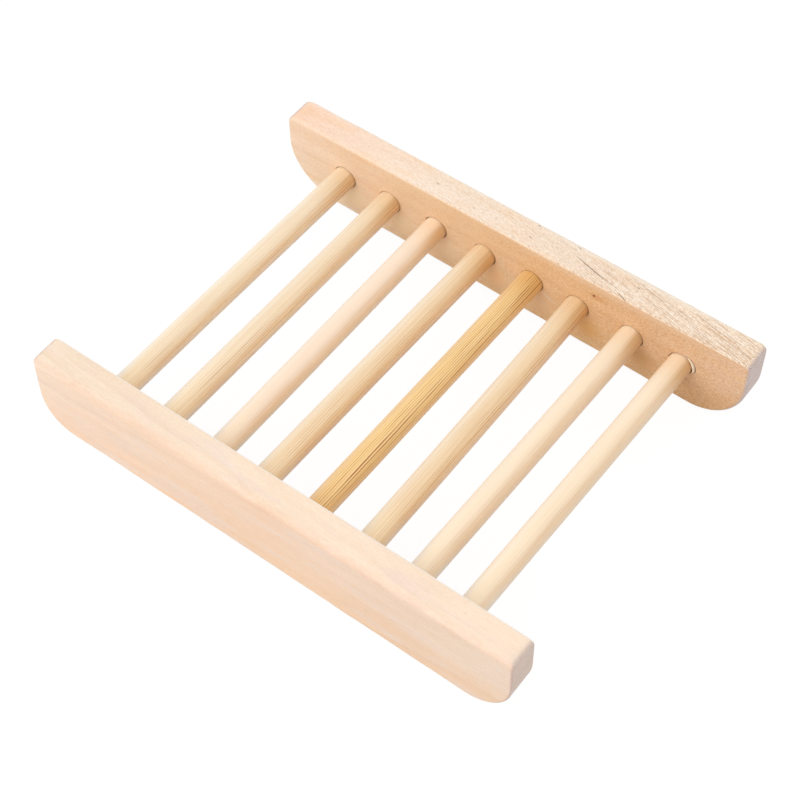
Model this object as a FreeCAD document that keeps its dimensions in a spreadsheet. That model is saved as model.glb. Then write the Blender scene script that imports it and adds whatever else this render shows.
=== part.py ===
import FreeCAD, Part
import Sketcher
import math
import os

# Wooden soap dish: two upright side rails joined by a row of round rungs.
# The soap lies on the rungs and water drips through the slots between them.
# Frame: X along the rails, Y along the rungs (front rail at -Y), Z up.
# The origin is the middle of the footprint, on the surface that the dish stands on. Millimetres.

SIZES = (
    # side rails
    ("rail_length", 116.4),
    ("rail_height", 21.2),
    ("rail_thickness", 7.1),
    ("clear_width", 74.6),
    ("lower_corner_radius", 11.5),
    ("top_corner_radius", 2.0),
    ("front_edge_radius", 0.9),
    ("back_edge_radius", 0.7),
    # rungs: the soap lies as deep below the rails' tops as the recess is
    ("recess_depth", 7.0),
    ("end_margin", 15.3),
    ("rung_diameter", 5.5),
    ("rung_end_chamfer", 0.4),
    # blind sockets in the rails' inner faces, with the wood that is left behind each
    ("socket_floor", 2.5),
    ("socket_clearance", 0.08),
    ("rung_end_gap", 0.3),
)

# The corners were rounded by hand, so each is a little more or less than the nominal radius.
FRONT_CORNER_SHARES = {"left": 0.72, "right": 0.98}
BACK_CORNER_SHARES = {"left": 1.16, "right": 1.02}

# The sockets were drilled by eye. Each share is how far a rung's end lies from its even place,
# in parts of the pitch, from the first rung to the last.
FRONT_DRIFT_SHARES = (-0.065, -0.045, 0.0, -0.06, -0.035, 0.005, -0.035, -0.065)
BACK_DRIFT_SHARES = (0.03, 0.02, 0.025, 0.065, 0.055, -0.015, 0.065, 0.03)

RUNG_COUNT = len(FRONT_DRIFT_SHARES)

# Lengths that follow from the sizes, as expressions.
RUNG_PITCH = f"(sizes.rail_length - 2 * sizes.end_margin) / {RUNG_COUNT - 1}"
RUNG_HEIGHT = "sizes.rail_height - sizes.recess_depth - sizes.rung_diameter / 2"
SOCKET_DEPTH = "(sizes.rail_thickness - sizes.socket_floor)"

# An edge counts as flat in a face's plane if it leaves it by less than this part of the thickness.
FLAT_SHARE = 0.001


def make_sheet(doc):
    """The spreadsheet that every size is bound to."""
    sheet = doc.addObject("Spreadsheet::Sheet", "sizes")
    for row, (name, value) in enumerate(SIZES, start=1):
        sheet.set(f"A{row}", name)
        sheet.set(f"B{row}", str(value))
        sheet.setAlias(f"B{row}", name)
    doc.recompute()
    return sheet


def origin_plane(body, role):
    """One of the body's own origin planes, such as XZ_Plane."""
    return next(item for item in body.Origin.OriginFeatures if item.Role == role)


def new_sketch(body, name):
    """An empty sketch on the body's XZ plane, whose normal points to -Y."""
    sketch = body.newObject("Sketcher::SketchObject", name)
    sketch.AttachmentSupport = [(origin_plane(body, "XZ_Plane"), "")]
    sketch.MapMode = "FlatFace"
    return sketch


def bind(sketch, name, kind, where, value, size):
    """A named dimension of a sketch, drawn at a start value and bound to a size."""
    index = sketch.addConstraint(Sketcher.Constraint(kind, *where, value))
    sketch.renameConstraint(index, name)
    sketch.setExpression("Constraints." + name, size)


def rail_outline(sketch, sizes, corner_shares):
    """Side view of a rail: long flat edges, short upright ends and four round corners."""
    half = sizes.rail_length / 2
    top = sizes.rail_height
    left = sizes.lower_corner_radius * corner_shares["left"]
    right = sizes.lower_corner_radius * corner_shares["right"]
    cap = sizes.top_corner_radius

    def line(start, end):
        return sketch.addGeometry(Part.LineSegment(FreeCAD.Vector(*start), FreeCAD.Vector(*end)))

    def corner(centre, radius, quarter):
        circle = Part.Circle(FreeCAD.Vector(*centre), FreeCAD.Vector(0, 0, 1), radius)
        start = quarter * math.pi / 2
        return sketch.addGeometry(Part.ArcOfCircle(circle, start, start + math.pi / 2))

    base_line = line((left - half, 0), (half - right, 0))
    right_corner = corner((half - right, right), right, 3)
    right_end = line((half, right), (half, top - cap))
    right_cap = corner((half - cap, top - cap), cap, 0)
    top_line = line((half - cap, top), (cap - half, top))
    left_cap = corner((cap - half, top - cap), cap, 1)
    left_end = line((-half, top - cap), (-half, left))
    left_corner = corner((left - half, left), left, 2)

    loop = (base_line, right_corner, right_end, right_cap, top_line, left_cap, left_end, left_corner)
    for this, following in zip(loop, loop[1:] + loop[:1]):
        sketch.addConstraint(Sketcher.Constraint("Tangent", this, 2, following, 1))
    for item in (base_line, top_line):
        sketch.addConstraint(Sketcher.Constraint("Horizontal", item))
    for item in (right_end, left_end):
        sketch.addConstraint(Sketcher.Constraint("Vertical", item))
    sketch.addConstraint(Sketcher.Constraint("PointOnObject", base_line, 1, -1))
    bind(sketch, "height", "DistanceY", (-1, 1, top_line, 1), top, "sizes.rail_height")
    bind(sketch, "right_half", "DistanceX", (-1, 1, right_end, 1), half, "sizes.rail_length / 2")
    bind(sketch, "left_half", "DistanceX", (left_end, 1, -1, 1), half, "sizes.rail_length / 2")
    bind(sketch, "right_radius", "Radius", (right_corner,), right,
         f"sizes.lower_corner_radius * {corner_shares['right']}")
    bind(sketch, "left_radius", "Radius", (left_corner,), left,
         f"sizes.lower_corner_radius * {corner_shares['left']}")
    bind(sketch, "right_cap_radius", "Radius", (right_cap,), cap, "sizes.top_corner_radius")
    bind(sketch, "left_cap_radius", "Radius", (left_cap,), cap, "sizes.top_corner_radius")


def add_bar(doc, name, sizes, corner_shares, edge_radius, side):
    """A rail before its sockets are drilled; side is -1 for the front and 1 for the back."""
    body = doc.addObject("PartDesign::Body", name)
    sketch = new_sketch(body, name + "_outline")
    rail_outline(sketch, sizes, corner_shares)
    pad = body.newObject("PartDesign::Pad", name + "_pad")
    pad.Profile = sketch
    pad.setExpression("Length", "sizes.rail_thickness")
    pad.Reversed = side > 0
    doc.recompute()

    # the edges that run round the two large faces lie flat in their planes
    rims = [f"Edge{index}" for index, edge in enumerate(pad.Shape.Edges, start=1)
            if math.isclose(edge.BoundBox.YLength, 0, abs_tol=sizes.rail_thickness * FLAT_SHARE)]
    easing = body.newObject("PartDesign::Fillet", name + "_easing")
    easing.Base = (pad, rims)
    easing.setExpression("Radius", edge_radius)
    body.setExpression("Placement.Base.y", f"{side} * sizes.clear_width / 2")
    doc.recompute()
    return body


def add_rod(doc, name, sizes, number, diameter, length, chamfer=None):
    """A round rod on the axis of one rung, centred between the rails. Its sizes are expressions."""
    body = doc.addObject("PartDesign::Body", name)
    sketch = new_sketch(body, name + "_circle")
    centre = FreeCAD.Vector(0, 0, 0)
    circle = sketch.addGeometry(Part.Circle(centre, FreeCAD.Vector(0, 0, 1), sizes.rung_diameter / 2))
    sketch.addConstraint(Sketcher.Constraint("Coincident", circle, 3, -1, 1))
    bind(sketch, "diameter", "Diameter", (circle,), sizes.rung_diameter, diameter)
    pad = body.newObject("PartDesign::Pad", name + "_pad")
    pad.Profile = sketch
    pad.Midplane = True
    pad.setExpression("Length", length)
    doc.recompute()
    if chamfer:
        ends = [f"Edge{index}" for index, edge in enumerate(pad.Shape.Edges, start=1)
                if isinstance(edge.Curve, Part.Circle)]
        easing = body.newObject("PartDesign::Chamfer", name + "_easing")
        easing.Base = (pad, ends)
        easing.setExpression("Size", chamfer)

    # both ends of a rung drift from their even place, so its axis leans a little in plan
    place = number - (RUNG_COUNT + 1) / 2
    front_share = place + FRONT_DRIFT_SHARES[number - 1]
    back_share = place + BACK_DRIFT_SHARES[number - 1]
    middle_share = (front_share + back_share) / 2
    lean_share = back_share - front_share
    body.setExpression("Placement.Base.x", f"{RUNG_PITCH} * {middle_share}")
    body.setExpression("Placement.Base.z", RUNG_HEIGHT)
    body.Placement.Rotation = FreeCAD.Rotation(FreeCAD.Vector(0, 0, 1), 0)
    body.setExpression("Placement.Rotation.Angle", f"-atan({RUNG_PITCH} * {lean_share} / sizes.clear_width)")
    doc.recompute()
    return body


def span(number):
    """Expression for the length of a rung's axis between the rails' inner faces."""
    lean_share = BACK_DRIFT_SHARES[number - 1] - FRONT_DRIFT_SHARES[number - 1]
    return f"hypot(sizes.clear_width; {RUNG_PITCH} * {lean_share})"


def add_rung(doc, sizes, number):
    """A dowel that reaches into both rails and stops just short of its sockets' floors."""
    length = f"{span(number)} + 2 * ({SOCKET_DEPTH} - sizes.rung_end_gap)"
    return add_rod(doc, f"rung_{number}", sizes, number, "sizes.rung_diameter", length, "sizes.rung_end_chamfer")


def add_bore(doc, sizes, number):
    """A rod as long as the way from one socket's floor to the other's, which cuts both sockets."""
    length = f"{span(number)} + 2 * {SOCKET_DEPTH}"
    diameter = "sizes.rung_diameter + 2 * sizes.socket_clearance"
    return add_rod(doc, f"bore_{number}", sizes, number, diameter, length)


def add_rail(doc, name, bar, bores):
    """A rail with its blind sockets drilled."""
    rail = doc.addObject("Part::Cut", name)
    rail.Base = bar
    rail.Tool = bores
    doc.recompute()
    return rail


def check(doc, pieces):
    """Stops if any object failed, or a piece isn't one valid solid."""
    for item in doc.Objects:
        if {"Invalid", "Error"} & set(item.State):
            raise RuntimeError(f"{item.Name} failed: {item.State}")
    for piece in pieces:
        shape = piece.Shape
        if shape.isNull() or not shape.isValid() or len(shape.Solids) != 1:
            raise RuntimeError(f"{piece.Label} isn't one valid solid")


def main():
    doc = FreeCAD.newDocument("soap_dish")
    sizes = make_sheet(doc)
    numbers = range(1, RUNG_COUNT + 1)

    bores = doc.addObject("Part::Compound", "bores")
    bores.Links = [add_bore(doc, sizes, number) for number in numbers]
    front_bar = add_bar(doc, "front_bar", sizes, FRONT_CORNER_SHARES, "sizes.front_edge_radius", -1)
    back_bar = add_bar(doc, "back_bar", sizes, BACK_CORNER_SHARES, "sizes.back_edge_radius", 1)

    pieces = [add_rail(doc, "front_rail", front_bar, bores), add_rail(doc, "back_rail", back_bar, bores)]
    pieces += [add_rung(doc, sizes, number) for number in numbers]
    doc.recompute()
    check(doc, pieces)

    os.makedirs("parts", exist_ok=True)
    for piece in pieces:
        piece.Shape.exportStep(f"parts/{piece.Label}.step")
        box = piece.Shape.BoundBox
        print(f"{piece.Label}: {box.XLength:.2f} x {box.YLength:.2f} x {box.ZLength:.2f} mm,",
              f"{piece.Shape.Volume:.1f} cubic mm")


main()
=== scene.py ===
# %% [markdown]
# # A soap dish of beech and bamboo
#
# The real dish is a small ladder. Two upright beech rails stand on their lower edges, and eight round
# rungs are glued into blind sockets in the rails' inner faces. The soap lies on the rungs and drips
# through the slots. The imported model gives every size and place, so this script only dresses it:
# each rail and each rung is made again here with its hand-sanded shape, and with its own wood.

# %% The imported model, as a fixed frame
import math
import bpy
from mathutils import Matrix, Vector


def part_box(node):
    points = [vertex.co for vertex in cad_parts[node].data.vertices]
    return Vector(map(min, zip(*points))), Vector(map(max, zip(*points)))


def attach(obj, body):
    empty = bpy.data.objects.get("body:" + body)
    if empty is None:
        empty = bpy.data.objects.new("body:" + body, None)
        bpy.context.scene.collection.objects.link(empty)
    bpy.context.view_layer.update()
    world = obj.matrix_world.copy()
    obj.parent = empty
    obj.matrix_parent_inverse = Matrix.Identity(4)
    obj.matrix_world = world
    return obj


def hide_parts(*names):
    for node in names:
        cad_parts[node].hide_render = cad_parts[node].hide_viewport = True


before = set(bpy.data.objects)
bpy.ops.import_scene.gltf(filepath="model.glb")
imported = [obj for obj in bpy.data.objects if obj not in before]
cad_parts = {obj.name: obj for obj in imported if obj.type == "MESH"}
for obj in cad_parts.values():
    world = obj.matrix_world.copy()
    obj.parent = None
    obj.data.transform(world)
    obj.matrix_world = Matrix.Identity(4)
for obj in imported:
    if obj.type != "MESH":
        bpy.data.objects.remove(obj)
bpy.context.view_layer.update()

MM = 0.001
RUNGS = sorted(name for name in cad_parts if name.startswith("rung_"))
print("nodes:", len(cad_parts), "| rungs:", len(RUNGS))

# %% [markdown]
# ## The camera
#
# The photograph looks down on the dish from its right front corner. A camera can be placed by eye, but
# a small error in its height or its distance bends every edge a little. Here its direction, distance
# and focal length were worked out from the rails' corners in the photograph, and are written as the
# angles that a photographer would name.

# %% The camera, at the photograph's viewpoint
VIEW_AZIMUTH = math.radians(37.37)
VIEW_ELEVATION = math.radians(54.60)
VIEW_ROLL = math.radians(-0.80)
VIEW_DISTANCE = 0.39214
FOCAL_PIXELS = 1897.5
PICTURE_PIXELS = 800
SENSOR_WIDTH = 36.0
VIEW_SHIFT_RIGHT = 0.45 / PICTURE_PIXELS
VIEW_SHIFT_UP = 13.58 / PICTURE_PIXELS


def look_from(azimuth, elevation, roll, distance):
    """The pose of a camera that looks at the origin. Azimuth 0 looks along +Y."""
    back = Vector((math.sin(azimuth) * math.cos(elevation),
                   -math.cos(azimuth) * math.cos(elevation),
                   math.sin(elevation)))
    right = Vector((math.cos(azimuth), math.sin(azimuth), 0))
    up = back.cross(right)
    axes = Matrix((right, up, back)).transposed().to_4x4()
    return Matrix.Translation(back * distance) @ axes @ Matrix.Rotation(roll, 4, "Z")


camera = bpy.data.objects.new("camera", bpy.data.cameras.new("camera"))
bpy.context.scene.collection.objects.link(camera)
bpy.context.scene.camera = camera
camera.matrix_world = look_from(VIEW_AZIMUTH, VIEW_ELEVATION, VIEW_ROLL, VIEW_DISTANCE)
camera.data.sensor_width = SENSOR_WIDTH
camera.data.lens = FOCAL_PIXELS / PICTURE_PIXELS * SENSOR_WIDTH
camera.data.shift_x = VIEW_SHIFT_RIGHT
camera.data.shift_y = VIEW_SHIFT_UP
print("lens:", round(camera.data.lens, 2), "mm")

# %% [markdown]
# ## Helpers for node trees
#
# Geometry trees and materials are both wired in code. A node is one line when a single helper adds it,
# sets its properties, and either links an input or gives it a plain value. The sums that every tree
# does have short names of their own, so that a line of them still reads as a sum.


# %% Wiring a tree
NODES_IN_A_ROW = 10
NODE_STEP = 220
ROW_STEP = 320


def put(tree, kind, inputs=(), **settings):
    """Adds a node, with its properties, and feeds its inputs from sockets or plain values."""
    row, place = divmod(len(tree.nodes), NODES_IN_A_ROW)
    node = tree.nodes.new(kind)
    node.location = (NODE_STEP * place, -ROW_STEP * row)
    for name, value in settings.items():
        setattr(node, name, value)
    for key, value in dict(inputs).items():
        if isinstance(value, bpy.types.NodeSocket):
            tree.links.new(value, node.inputs[key])
        else:
            node.inputs[key].default_value = value
    return node


GEOMETRY = "NodeSocketGeometry"
OBJECT = "NodeSocketObject"
MATERIAL = "NodeSocketMaterial"
VECTOR = "NodeSocketVector"
NUMBER = "NodeSocketFloat"
COLOUR = "NodeSocketColor"
TYPES_OF_VALUES = {float: NUMBER, int: "NodeSocketInt", tuple: VECTOR}


def new_tree(name, kind, inputs, outputs):
    """A node group, and the sockets that its nodes read and feed.

    An input is given as its default value, or as a type of socket where it needs none.
    """
    tree = bpy.data.node_groups.new(name, kind)
    for title, value in inputs.items():
        socket_type = TYPES_OF_VALUES.get(type(value), value)
        item = tree.interface.new_socket(title, in_out="INPUT", socket_type=socket_type)
        if socket_type != value:
            item.default_value = value
    for title, socket_type in outputs.items():
        tree.interface.new_socket(title, in_out="OUTPUT", socket_type=socket_type)
    return tree, tree.nodes.new("NodeGroupInput").outputs, tree.nodes.new("NodeGroupOutput").inputs


# %% Sums with numbers
def maths(tree, operation, *values, clamp=False):
    """A Math node's result."""
    return put(tree, "ShaderNodeMath", enumerate(values), operation=operation, use_clamp=clamp).outputs[0]


def plus(tree, first, second, clamp=False):
    """Two numbers added."""
    return maths(tree, "ADD", first, second, clamp=clamp)


def minus(tree, first, second, clamp=False):
    """The second number taken from the first."""
    return maths(tree, "SUBTRACT", first, second, clamp=clamp)


def times(tree, first, second, clamp=False):
    """Two numbers multiplied."""
    return maths(tree, "MULTIPLY", first, second, clamp=clamp)


def over(tree, first, second, clamp=False):
    """The first number divided by the second."""
    return maths(tree, "DIVIDE", first, second, clamp=clamp)


def complement(tree, value):
    """One minus a number."""
    return minus(tree, 1.0, value)


def between(tree, share, first, second):
    """A number between two others."""
    return put(tree, "ShaderNodeMix", {0: share, 2: first, 3: second}, data_type="FLOAT").outputs[0]


def remap(tree, value, from_low, from_high, to_low=0.0, to_high=1.0, smooth=True):
    """Moves a number from one range to another, and keeps it inside."""
    return put(tree, "ShaderNodeMapRange",
               {0: value, 1: from_low, 2: from_high, 3: to_low, 4: to_high},
               interpolation_type="SMOOTHSTEP" if smooth else "LINEAR", clamp=True).outputs[0]


# %% Sums with vectors, and chance
def vectors(tree, operation, *values):
    """A Vector Math node's result, which is a number for a length or a dot product."""
    node = put(tree, "ShaderNodeVectorMath", enumerate(values), operation=operation)
    return node.outputs["Value" if operation in {"LENGTH", "DOT_PRODUCT"} else "Vector"]


def scaled(tree, vector, factor):
    """A vector made longer or shorter."""
    return put(tree, "ShaderNodeVectorMath", {0: vector, "Scale": factor}, operation="SCALE").outputs[0]


def vector_of(tree, x=0.0, y=0.0, z=0.0):
    """A vector put together from three numbers."""
    return put(tree, "ShaderNodeCombineXYZ", {0: x, 1: y, 2: z}).outputs[0]


def split(tree, vector):
    """The three numbers of a vector."""
    return put(tree, "ShaderNodeSeparateXYZ", {0: vector}).outputs


def noise(tree, place, detail, roughness=0.5):
    """Smooth noise, which rises and falls about once in each unit of the place that it is given."""
    inputs = {"Vector": place, "Scale": 1.0, "Detail": detail, "Roughness": roughness}
    return put(tree, "ShaderNodeTexNoise", inputs).outputs["Fac"]


def lot(tree, number, output="Value"):
    """What a number draws by lot. The same number always draws the same."""
    return put(tree, "ShaderNodeTexWhiteNoise", {"W": number}, noise_dimensions="1D").outputs[output]


# %% What the geometry trees share
WELD_DISTANCE = 0.001 * MM
QUARTER_TURN = math.pi / 2
STOOD_UP = (QUARTER_TURN, 0, 0)


def keep(tree, geometry, name, value, kind="FLOAT"):
    """Stores a value on each point of a shape, under a name."""
    return put(tree, "GeometryNodeStoreNamedAttribute",
               {"Geometry": geometry, "Name": name, "Value": value}, data_type=kind).outputs[0]


def kept(tree, name, kind="FLOAT"):
    """The value that each point has under a name."""
    return put(tree, "GeometryNodeInputNamedAttribute", {"Name": name}, data_type=kind).outputs[0]


def weld(tree, geometry, distance=WELD_DISTANCE):
    """A shape with its doubled points made one."""
    return put(tree, "GeometryNodeMergeByDistance", {"Geometry": geometry, "Distance": distance}).outputs[0]


def own_place(tree):
    """Where each point lies."""
    return put(tree, "GeometryNodeInputPosition").outputs[0]


def roughen(tree, geometry, place, squash, level, amount):
    """Pushes a shape's skin in and out by noise. Where the noise is at the level, it stays."""
    swelling = noise(tree, vectors(tree, "MULTIPLY", place, squash), detail=2.0)
    push = scaled(tree, put(tree, "GeometryNodeInputNormal").outputs[0],
                  times(tree, minus(tree, swelling, level), amount))
    return put(tree, "GeometryNodeSetPosition", {"Geometry": geometry, "Offset": push}).outputs[0]


def end_tree(tree, geometry, spent, finish, made):
    """The end of each tree: spent values are taken off, and real geometry wears its finish."""
    for name in spent:
        geometry = put(tree, "GeometryNodeRemoveAttribute", {"Geometry": geometry, "Name": name}).outputs[0]
    real = put(tree, "GeometryNodeRealizeInstances", {0: geometry})
    coated = put(tree, "GeometryNodeSetMaterial", {"Geometry": real.outputs[0], "Material": finish})
    tree.links.new(coated.outputs[0], made["Geometry"])
    print(tree.name, "tree:", len(tree.nodes), "nodes")


# %% Running a tree on a piece
def set_inputs(modifier, values):
    """Gives a Geometry Nodes modifier its inputs, each by its socket's identifier."""
    for item in modifier.node_group.interface.items_tree:
        if item.item_type == "SOCKET" and item.in_out == "INPUT" and item.name in values:
            modifier[item.identifier] = values[item.name]


def bake(piece):
    """Makes the result of a piece's modifiers its own plain mesh."""
    depsgraph = bpy.context.evaluated_depsgraph_get()
    mesh = bpy.data.meshes.new_from_object(piece.evaluated_get(depsgraph),
                                           preserve_all_data_layers=True, depsgraph=depsgraph)
    mesh.name = piece.name
    piece.modifiers.clear()
    piece.data = mesh
    return piece


def grow(name, tree, values, mesh=None):
    """A new piece from a geometry tree, baked to a plain mesh."""
    piece = bpy.data.objects.new(name, mesh or bpy.data.meshes.new(name))
    bpy.context.scene.collection.objects.link(piece)
    modifier = piece.modifiers.new("shape", "NODES")
    modifier.node_group = tree
    set_inputs(modifier, values)
    return bake(piece)


# %% [markdown]
# ## One tin for each finish
#
# The trees end by giving their mesh its material, so the materials must exist before the pieces do.
# They start empty here, and are filled in once the shapes are done.

# %% The finishes by name
FINISHES = {name: bpy.data.materials.new(name) for name in
            ("front_rail_beech", "back_rail_beech", "rung_bamboo", "rung_pinkish",
             "rung_golden", "rung_pale", "torn_fibre")}
print("finishes:", ", ".join(FINISHES))

# %% [markdown]
# ## The rungs
#
# A rung is a turned stick: round, but never quite. It is a little thicker here and thinner there, it
# bows by less than a line's width, and its ends are chamfered so that they start easily in the sockets.
# A cylinder primitive would be too perfect and can't carry the grain along, so the tree runs a circle
# along a line instead. It also stores where each point lay in the straight, unturned stick. The wood's
# pattern reads that, so the fibres follow the stick wherever it leans, and each stick shows its own.

# %% The stick tree: rings along a line
stick_tree, given, made = new_tree("stick", "GeometryNodeTree", {
    "Geometry": GEOMETRY, "Near End": (0, 0, 0), "Far End": (0, 1, 0), "Radius": 1.0, "Chamfer": 0.0,
    "Unevenness": 0.0, "Bow": 0.0, "Turn": 0.0, "Number": 0.0, "Gold": 0.0, "Rings": 64, "Sides": 48,
    "Finish": MATERIAL,
}, {"Geometry": GEOMETRY})
tree = stick_tree

line = put(tree, "GeometryNodeCurvePrimitiveLine", {"Start": given["Near End"], "End": given["Far End"]})
rings = put(tree, "GeometryNodeResampleCurve", {"Curve": line.outputs[0], "Count": given["Rings"]},
            mode="COUNT")
factor = put(tree, "GeometryNodeSplineParameter").outputs["Factor"]
is_start = put(tree, "GeometryNodeCurveEndpointSelection", {"Start Size": 1, "End Size": 0}).outputs[0]
is_end = put(tree, "GeometryNodeCurveEndpointSelection", {"Start Size": 0, "End Size": 1}).outputs[0]
is_tip = plus(tree, is_start, is_end)

# the first and last rings lie a chamfer's length from their neighbours, the rest evenly between
way = vectors(tree, "SUBTRACT", given["Far End"], given["Near End"])
length = vectors(tree, "LENGTH", way)
step = over(tree, 1.0, minus(tree, given["Rings"], 1.0))
even = remap(tree, factor, step, complement(tree, step), smooth=False)
tip_share = over(tree, given["Chamfer"], length)
inner = remap(tree, even, 0.0, 1.0, tip_share, complement(tree, tip_share), smooth=False)
share = plus(tree, times(tree, inner, complement(tree, is_tip)), is_end)
along = times(tree, share, length)

# a bow, different for each stick
arch = maths(tree, "SINE", times(tree, share, math.pi))
aside = vectors(tree, "SUBTRACT", lot(tree, given["Number"], "Color"), (0.5, 0.5, 0.5))
bow = scaled(tree, aside, times(tree, arch, given["Bow"]))
place = vectors(tree, "ADD", vectors(tree, "ADD", given["Near End"], scaled(tree, way, share)), bow)
placed = put(tree, "GeometryNodeSetPosition", {"Geometry": rings.outputs[0], "Position": place})
radius = minus(tree, given["Radius"], times(tree, is_tip, given["Chamfer"]))
measured = keep(tree, keep(tree, placed.outputs[0], "along", along), "girth", radius)
upright = put(tree, "GeometryNodeSetCurveNormal", {"Curve": measured}, mode="Z_UP")

# %% The stick tree: the skin and its grain
GRAIN_STEP = 0.37
SWELL_SQUASH = (60.0, 200.0, 200.0)
SWELL_LEVEL = 0.62

# the circle remembers its own points, turned as the stick was turned in its socket
circle = put(tree, "GeometryNodeCurvePrimitiveCircle", {"Resolution": given["Sides"], "Radius": 1.0})
turned = put(tree, "ShaderNodeVectorRotate", {"Vector": own_place(tree), "Angle": given["Turn"]},
             rotation_type="Z_AXIS")
profile = keep(tree, circle.outputs[0], "round", turned.outputs[0], "FLOAT_VECTOR")
girth = kept(tree, "girth")
tube = put(tree, "GeometryNodeCurveToMesh", {"Curve": upright.outputs[0], "Profile Curve": profile,
                                             "Scale": girth, "Fill Caps": True})

# where each point lay in the straight stick: X along the grain, Y and Z across it
across = split(tree, scaled(tree, kept(tree, "round", "FLOAT_VECTOR"), girth))
along_grain = plus(tree, kept(tree, "along"), times(tree, given["Number"], GRAIN_STEP))
grain_place = vector_of(tree, along_grain, across[0], across[1])
grained = keep(tree, tube.outputs[0], "grain_place", grain_place, "FLOAT_VECTOR")

# how golden this stick is, for the material to read
tinted = keep(tree, grained, "gold", given["Gold"])

# slow swellings and hollows, long along the stick and short round it
uneven = roughen(tree, tinted, grain_place, SWELL_SQUASH, SWELL_LEVEL, given["Unevenness"])
end_tree(tree, uneven, ("along", "girth", "round"), given["Finish"], made)

# %% [markdown]
# Each rung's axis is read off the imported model: the middle of the points at either end. A rung's own
# character is a short row of facts: which wood it is, how stout it is, how far its dark side, where the
# fibres crowd, is tipped from straight up towards the dish's right, in degrees, and how golden it is.

# %% The eight rungs
RUNG_RADIUS = min((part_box(name)[1].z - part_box(name)[0].z) / 2 for name in RUNGS)
RUNG_CHAMFER = 0.4 * MM
RUNG_UNEVENNESS = 0.12 * MM
RUNG_BOW = 0.25 * MM
END_BAND = 0.15 * MM
SMOOTH_ANGLE = math.radians(32)


def axis_ends(name):
    """The centres of a rung's two end faces."""
    ends = []
    for y in (corner.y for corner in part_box(name)):
        rim = [v.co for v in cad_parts[name].data.vertices if abs(v.co.y - y) < END_BAND]
        xs, zs = [p.x for p in rim], [p.z for p in rim]
        ends.append(Vector(((min(xs) + max(xs)) / 2, y, (min(zs) + max(zs)) / 2)))
    return ends


CHARACTER = {
    "rung_1": {"finish": "rung_bamboo", "stoutness": 0.99, "dark_side": 78, "gold": 0.0},
    "rung_2": {"finish": "rung_bamboo", "stoutness": 1.0, "dark_side": 72, "gold": 0.2},
    "rung_3": {"finish": "rung_pinkish", "stoutness": 0.975, "dark_side": 90, "gold": 0.0},
    "rung_4": {"finish": "rung_bamboo", "stoutness": 1.0, "dark_side": 75, "gold": 0.6},
    "rung_5": {"finish": "rung_golden", "stoutness": 1.0, "dark_side": 18, "gold": 0.0},
    "rung_6": {"finish": "rung_bamboo", "stoutness": 1.0, "dark_side": 66, "gold": 0.6},
    "rung_7": {"finish": "rung_pale", "stoutness": 1.0, "dark_side": 80, "gold": 0.1},
    # rung_8's gold also darkens its right side, as painted shade where the rim light falls
    "rung_8": {"finish": "rung_pale", "stoutness": 0.98, "dark_side": 85, "gold": 0.25},
}

rungs = {}
for number, name in enumerate(RUNGS, start=1):
    near, far = axis_ends(name)
    about = CHARACTER[name]
    rungs[name] = grow(name + "_stick", stick_tree, {
        "Near End": near, "Far End": far, "Radius": RUNG_RADIUS * about["stoutness"],
        "Chamfer": RUNG_CHAMFER, "Unevenness": RUNG_UNEVENNESS, "Bow": RUNG_BOW,
        "Turn": math.radians(90 - about["dark_side"]), "Number": float(number), "Gold": about["gold"],
        "Rings": 72, "Sides": 48, "Finish": FINISHES[about["finish"]]})
    rungs[name].data.set_sharp_from_angle(angle=SMOOTH_ANGLE)
    print(name, "radius", round(RUNG_RADIUS * about["stoutness"] / MM, 3), "mm, faces",
          len(rungs[name].data.polygons))

# %% [markdown]
# ## The drill
#
# The sockets are cut with the same tree: eight longer, slightly thicker sticks, without unevenness, that
# run from one socket's floor to the other's. A drilled hole is never a perfect fit, so each bit is
# pushed a hair up and to the right. That leaves the thin dark line that shows beside every rung.

# %% Eight bits
SOCKET_GAP = 0.12 * MM
SOCKET_END_GAP = 0.3 * MM
BIT_SHIFT = Vector((0.06, 0.0, 0.065)) * MM
BIT_CHAMFER = 0.5 * MM


def join(pieces, name):
    """Several pieces as one."""
    with bpy.context.temp_override(active_object=pieces[0], selected_editable_objects=pieces):
        bpy.ops.object.join()
    pieces[0].name = name
    return pieces[0]


bits = []
for name in RUNGS:
    near, far = axis_ends(name)
    reach = (far - near).normalized() * SOCKET_END_GAP
    bits.append(grow("bit", stick_tree, {
        "Near End": near - reach + BIT_SHIFT, "Far End": far + reach + BIT_SHIFT,
        "Radius": RUNG_RADIUS + SOCKET_GAP, "Rings": 4, "Sides": 64, "Chamfer": BIT_CHAMFER}))
print("bits:", len(bits))

# %% [markdown]
# At the last rung the drill tore the back rail: a curved sliver of wood stands loose in a groove beside
# the socket, from the rung's top round to its right. Groove and sliver are the same form in two sizes,
# an oval swept along an arc, so one tree makes both. The groove joins the drill. The sliver is narrower,
# runs out to a point at its upper end, and has a ragged skin.

# %% The crescent tree
RAGGED_SQUASH = (3000.0, 3000.0, 900.0)

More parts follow.
